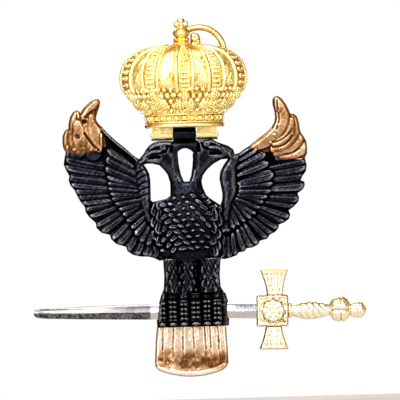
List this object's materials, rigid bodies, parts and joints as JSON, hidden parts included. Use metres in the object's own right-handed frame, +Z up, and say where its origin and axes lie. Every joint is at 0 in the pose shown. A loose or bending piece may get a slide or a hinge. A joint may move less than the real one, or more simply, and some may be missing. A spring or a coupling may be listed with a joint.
{
  "type": "double-headed eagle jewel",
  "caption": "Double-headed eagle jewel hinged under a domed crown, its claws gripping a straight sword, with a swinging hanging ring behind the crown.",
  "frame": {"origin": "centre of the hanging eye's hole, behind the finial", "axes": "+Z up as the jewel hangs, +Y to the back, +X along the sword towards its pommel"},
  "size_m": [0.0885, 0.0164, 0.0955],
  "materials": {
    "crown_gold": "bright yellow gold plate, polished high spots, warm recesses",
    "hilt_gold": "pale bright gold plate",
    "copper_gold": "rose gold plate with a brown antique patina in the recesses",
    "black_finish": "glossy black finish over cast metal",
    "blade_steel": "silver plate, bright upper bevel, darkened lower bevel"
  },
  "bodies": {
    "crown": {"crown_shell": "crown_gold", "crown_back_plate": "crown_gold", "crown_rim": "crown_gold", "crown_band": "crown_gold", "arch_far_left": "crown_gold", "fleuron_far_left": "crown_gold", "arch_left": "crown_gold", "fleuron_left": "crown_gold", "arch_centre": "crown_gold", "fleuron_centre": "crown_gold", "arch_right": "crown_gold", "fleuron_right": "crown_gold", "arch_far_right": "crown_gold", "fleuron_far_right": "crown_gold", "finial_collar": "crown_gold", "finial_orb": "crown_gold", "finial_cross": "crown_gold", "lug_boss": "crown_gold", "hanging_eye": "crown_gold", "hinge_tab_left": "crown_gold", "hinge_tab_right": "crown_gold", "hinge_pin": "crown_gold"},
    "ring": {"jump_ring": "crown_gold"},
    "eagle": {"hinge_knuckle": "black_finish", "eagle_body": "black_finish", "head_left": "black_finish", "head_right": "black_finish", "wing_left": "black_finish", "wing_right": "black_finish", "wing_tip_left": "copper_gold", "wing_tip_right": "copper_gold", "thigh_left": "black_finish", "belly_feathers": "black_finish", "thigh_right": "black_finish", "talon_left": "black_finish", "talon_right": "black_finish", "tail": "copper_gold", "sword_blade": "blade_steel", "guard_block": "hilt_gold", "guard_arm_upper": "hilt_gold", "guard_arm_lower": "hilt_gold", "guard_rosette": "hilt_gold", "guard_collar": "hilt_gold", "sword_grip": "hilt_gold", "pommel": "hilt_gold", "pommel_button": "hilt_gold"}
  },
  "joints": [
    {"name": "ring_swing", "type": "hinge", "parent": "crown", "child": "ring", "pos_m": [0, 0, 0], "axis": [1, 0, 0], "range_deg": [0, 180]},
    {"name": "crown_hinge", "type": "hinge", "parent": "crown", "child": "eagle", "pos_m": [-0.00035, -0.00523, -0.02705], "axis": [1, 0, 0], "range_deg": [-50, 60]}
  ]
}
